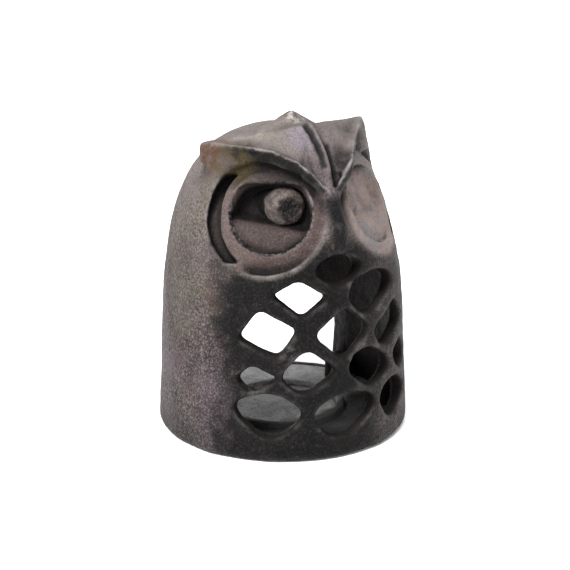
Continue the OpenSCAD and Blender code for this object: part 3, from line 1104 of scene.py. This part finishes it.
def eye_tints(s, colour, cloud):
    """Brown sockets, painted light over the right one, and painted shade in the dish of the left with a
    dark line round the right stud's foot.
    """
    colour = s.cover("blush", 0.75, colour, SOCKET_BROWN)
    # Painted light over the right eye
    right_eye_light = s.mix(s.span(s.noise(95.0, 5.0, 0.6, 0.5), 0.42, 0.58), PAINTED_LIGHT_COOL, PAINTED_LIGHT_WARM)
    colour = s.cover("pale", 0.66, colour, right_eye_light)
    # Painted shade in the left dish, and the dark line round the right stud
    return s.cover("dish", s.span(cloud, 0.30, 0.60, 0.9, 0.6), colour, DISH_SHADE_AND_STAIN_BROWN)


def specks_and_stains(s, colour, speck):
    """Pale and dark specks, fewer on the brow and in the eyes, and brown stains over them."""
    uneven = s.span(s.noise(60.0, 4.0, 0.6, 0.4), 0.36, 0.62, 0.55, 1.0)
    calm = s.span(s.math("MAXIMUM", s.height(0.088, 0.106), s.mask("blush")), 0.0, 1.0, 0.78, 0.36)
    pale = s.times(s.span(speck, 0.50, 0.64), s.times(calm, 0.7))
    colour = s.mix(pale, colour, PALE_SPECK)
    dark = s.times(s.span(speck, 0.49, 0.36), s.times(calm, uneven))
    colour = s.mix(dark, colour, DARK_SPECK)
    brown = s.span(s.noise(75.0, 4.0, 0.6), 0.50, 0.72, 0.0, 0.45)
    return s.mix(brown, colour, STAIN_BROWN)


def darkened(s, colour, cloud, black):
    """Soot and painted shade, then the dark of the inside, painted shade where other metal shuts a place
    in, and dark creases.
    """
    # Soot, with painted shade under the brow, in the brow's hollows and in the left eye
    colour = s.cover("soot_and_shade", s.span(cloud, 0.25, 0.62, 1.0, 0.92), colour, black)
    colour = s.cover("inner", 0.9, colour, INSIDE_BLACK)
    # Painted shade where other metal shuts a place in, weaker over the right eye
    colour = s.cover("occlusion_shade", s.span(s.mask("pale"), 0.0, 1.0, 0.92, 0.2), colour, OCCLUSION_SHADE_BLACK)
    return s.cover("crease", 0.75, colour, CREASE_BLACK)


def rubbed(s, colour, cloud):
    """Bare metal showing on worn places, less where it is dark, and a painted highlight along the crest and
    the ring's lip.
    """
    rub = s.times(s.mask("worn"), s.span(cloud, 0.40, 0.62, 0.1, 0.75))
    rub = s.times(rub, s.span(s.mask("inner"), 0.0, 1.0, 0.8, 0.1))
    rub = s.times(rub, s.span(s.mask("soot_and_shade"), 0.0, 1.0, 1.0, 0.44))
    colour = s.mix(rub, colour, RUBBED_GREY)
    # Painted highlight along the crest and the ring's lip
    return s.cover("edge", s.span(cloud, 0.36, 0.56, 0.12, 0.62), colour, EDGE_HIGHLIGHT_GREY)


def body_iron():
    """The shell's patina, from the weathered iron up to the last scraped chips."""
    s = Shader("cast_body_patina")
    cloud = s.noise(170.0, 6.0, 0.65)
    speck = s.noise(1300.0, 3.0, 0.7)
    black = s.mix(s.span(speck, 0.50, 0.72), SOOT_AND_SHADE_BLACK, SOOT_AND_SHADE_DUSTY)
    colour = weathered_iron(s, cloud)
    colour = eye_tints(s, colour, cloud)
    colour = specks_and_stains(s, colour, speck)
    colour = darkened(s, colour, cloud, black)
    colour = rubbed(s, colour, cloud)
    colour = s.cover("outline", s.span(s.noise(340.0, 5.0, 0.8), 0.42, 0.54), colour, black)
    patches = s.times(s.span(cloud, 0.32, 0.56), s.span(speck, 0.38, 0.54, 0.5, 1.0))
    colour = s.cover("rust", s.times(patches, 0.95), colour, RUST_BROWN)
    colour = s.cover("olive", s.times(patches, 0.85), colour, OLIVE_BROWN)
    chip = s.times(s.mask("chip"), s.span(s.noise(420.0, 5.0, 0.7), 0.42, 0.60))
    colour = s.mix(chip, colour, CHIP_GREY)

    rough = s.math("ADD", s.span(cloud, 0.3, 0.7, 0.50, 0.68), s.times(chip, 0.2))
    return s.finish(colour, rough, IRON_METALLIC, cast_grain(s))


def pupil_iron():
    """Browner iron with dark specks, a dark tip, and painted light on the right stud."""
    s = Shader("pupil_iron_rubbed")
    cloud = s.noise(420.0, 5.0, 0.6)
    speck = s.noise(1500.0, 3.0, 0.7)
    colour = s.mix(s.span(cloud, 0.35, 0.65), (0.060, 0.049, 0.046), (0.120, 0.099, 0.091))
    colour = s.mix(s.span(speck, 0.48, 0.36, 0.0, 0.6), colour, (0.010, 0.009, 0.009))
    colour = s.cover("soot_and_shade", s.span(speck, 0.42, 0.62, 1.0, 0.72), colour, (0.004, 0.004, 0.004))
    # Painted light on the right stud
    colour = s.cover("pale", 0.6, colour, (0.190, 0.150, 0.140))
    colour = s.cover("worn", 0.25, colour, (0.12, 0.10, 0.09))
    return s.finish(colour, s.span(cloud, 0.3, 0.7, 0.45, 0.62), IRON_METALLIC, cast_grain(s))


def floor_iron():
    """Grey dusty iron with dark specks and brown stains, and a painted shadow under the front of the owl.
    """
    s = Shader("floor_iron_dusty")
    cloud = s.noise(130.0, 6.0, 0.62, 0.3)
    speck = s.noise(1000.0, 3.0, 0.7)
    colour = s.mix(s.span(cloud, 0.34, 0.66), (0.30, 0.305, 0.30), (0.56, 0.565, 0.56))
    colour = s.mix(s.span(speck, 0.48, 0.34, 0.0, 0.6), colour, (0.035, 0.035, 0.035))
    colour = s.mix(s.span(s.noise(60.0, 4.0, 0.6), 0.55, 0.72, 0.0, 0.5), colour, (0.075, 0.062, 0.052))
    colour = s.cover("worn", 0.5, colour, (0.26, 0.25, 0.24))
    colour = s.cover("crease", 0.7, colour, (0.025, 0.024, 0.023))
    # Painted shadow under the front of the owl
    colour = s.cover("soot_and_shade", 0.92, colour, (0.022, 0.021, 0.021))
    return s.finish(colour, s.span(cloud, 0.3, 0.7, 0.48, 0.68), IRON_METALLIC, cast_grain(s))


def screw_steel():
    """Turned steel with fine lines round each head and a little tarnish."""
    s = Shader("screw_steel_turned")
    stretch = s.node("Mapping", {"Vector": s.coords})
    stretch.inputs["Scale"].default_value = (1.0, 1.0, 12.0)
    lines = s.noise(1800.0, 3.0, 0.6, 0.0, stretch.outputs["Vector"])
    stain = s.noise(500.0, 4.0, 0.6)
    colour = s.mix(s.span(stain, 0.42, 0.68), (0.50, 0.48, 0.44), (0.26, 0.22, 0.18))
    return s.finish(colour, s.span(stain, 0.3, 0.7, 0.28, 0.50), 0.95, s.bump(lines, 0.00006))


def pad_rubber():
    """Matt black rubber, finely pebbled and a little dusty."""
    s = Shader("pad_rubber_pebbled")
    dust = s.noise(240.0, 5.0, 0.6)
    colour = s.mix(s.span(dust, 0.45, 0.75), (0.016, 0.016, 0.017), (0.055, 0.053, 0.050))
    pebble = s.bump(s.cells(1500.0), 0.00008)
    return s.finish(colour, s.span(dust, 0.3, 0.7, 0.72, 0.88), 0.0, pebble)


# ---------- studio

def look_at(position, target):
    direction = Vector(target) - Vector(position)
    return direction.to_track_quat("-Z", "Y").to_euler()


def area_light(name, position, size, power, tint):
    data = bpy.data.lights.new(name, "AREA")
    data.shape = "DISK"
    data.size = size
    data.energy = power
    data.color = tint
    light = bpy.data.objects.new(name, data)
    light.location = position
    light.rotation_euler = look_at(position, STUDIO_MIDDLE)
    bpy.context.collection.objects.link(light)


def build_floor():
    mesh = bpy.data.meshes.new("studio_floor")
    form = bmesh.new()
    bmesh.ops.create_circle(form, cap_ends=True, segments=96, radius=STUDIO_FLOOR_R)
    form.to_mesh(mesh)
    form.free()
    s = Shader("studio_paper")
    colour = s.mix(s.noise(3.0, 3.0), (0.90, 0.90, 0.90), (0.92, 0.92, 0.92))
    mesh.materials.append(s.finish(colour, 0.9, 0.0, s.bump(s.noise(900.0, 2.0), 0.00005)))
    floor = bpy.data.objects.new("studio_floor", mesh)
    bpy.context.collection.objects.link(floor)


def build_studio():
    build_floor()
    world = bpy.data.worlds.new("studio_world")
    world.use_nodes = True
    background = world.node_tree.nodes["Background"]
    background.inputs["Color"].default_value = (1.0, 1.0, 1.0, 1.0)
    background.inputs["Strength"].default_value = 1.0
    bpy.context.scene.world = world
    for light in LIGHTS:
        area_light(*light)
    view = bpy.context.scene.view_settings
    view.view_transform = "Standard"
    view.look = "None"


def build_camera():
    """Looks at the owl from a metre away, from the front left of the picture and a little above."""
    camera_data = bpy.data.cameras.new("camera")
    camera_data.lens = CAMERA_LENS
    camera_data.sensor_width = CAMERA_SENSOR
    camera = bpy.data.objects.new("camera", camera_data)
    target = Vector((0.0, 0.0, LOOK_Z)) + LOOK_RIGHT * Vector((0.866, -0.5, 0.0))
    camera.location = target + Vector(facing(CAMERA_TURN, CAMERA_LIFT))
    camera.rotation_euler = look_at(camera.location, target)
    bpy.context.collection.objects.link(camera)
    bpy.context.scene.camera = camera


# ---------- assembly

def add_piece(piece, material, node):
    piece.data.materials.clear()
    piece.data.materials.append(material)
    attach(piece, "root")
    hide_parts(node)


def finish_node(node, material):
    """Gives a CAD node that keeps its own shape its finish."""
    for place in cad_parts[node].material_slots:
        place.material = material


add_piece(build_shell(), body_iron(), "owl_shell")
stud_finish = pupil_iron()
add_piece(build_pupil(-1, "left_stud"), stud_finish, "left_pupil")
add_piece(build_pupil(1, "right_stud"), stud_finish, "right_pupil")
add_piece(build_floor_plate(), floor_iron(), "base_plate")
finish_node("base_screws", screw_steel())
finish_node("foot_pad", pad_rubber())
build_studio()
build_camera()
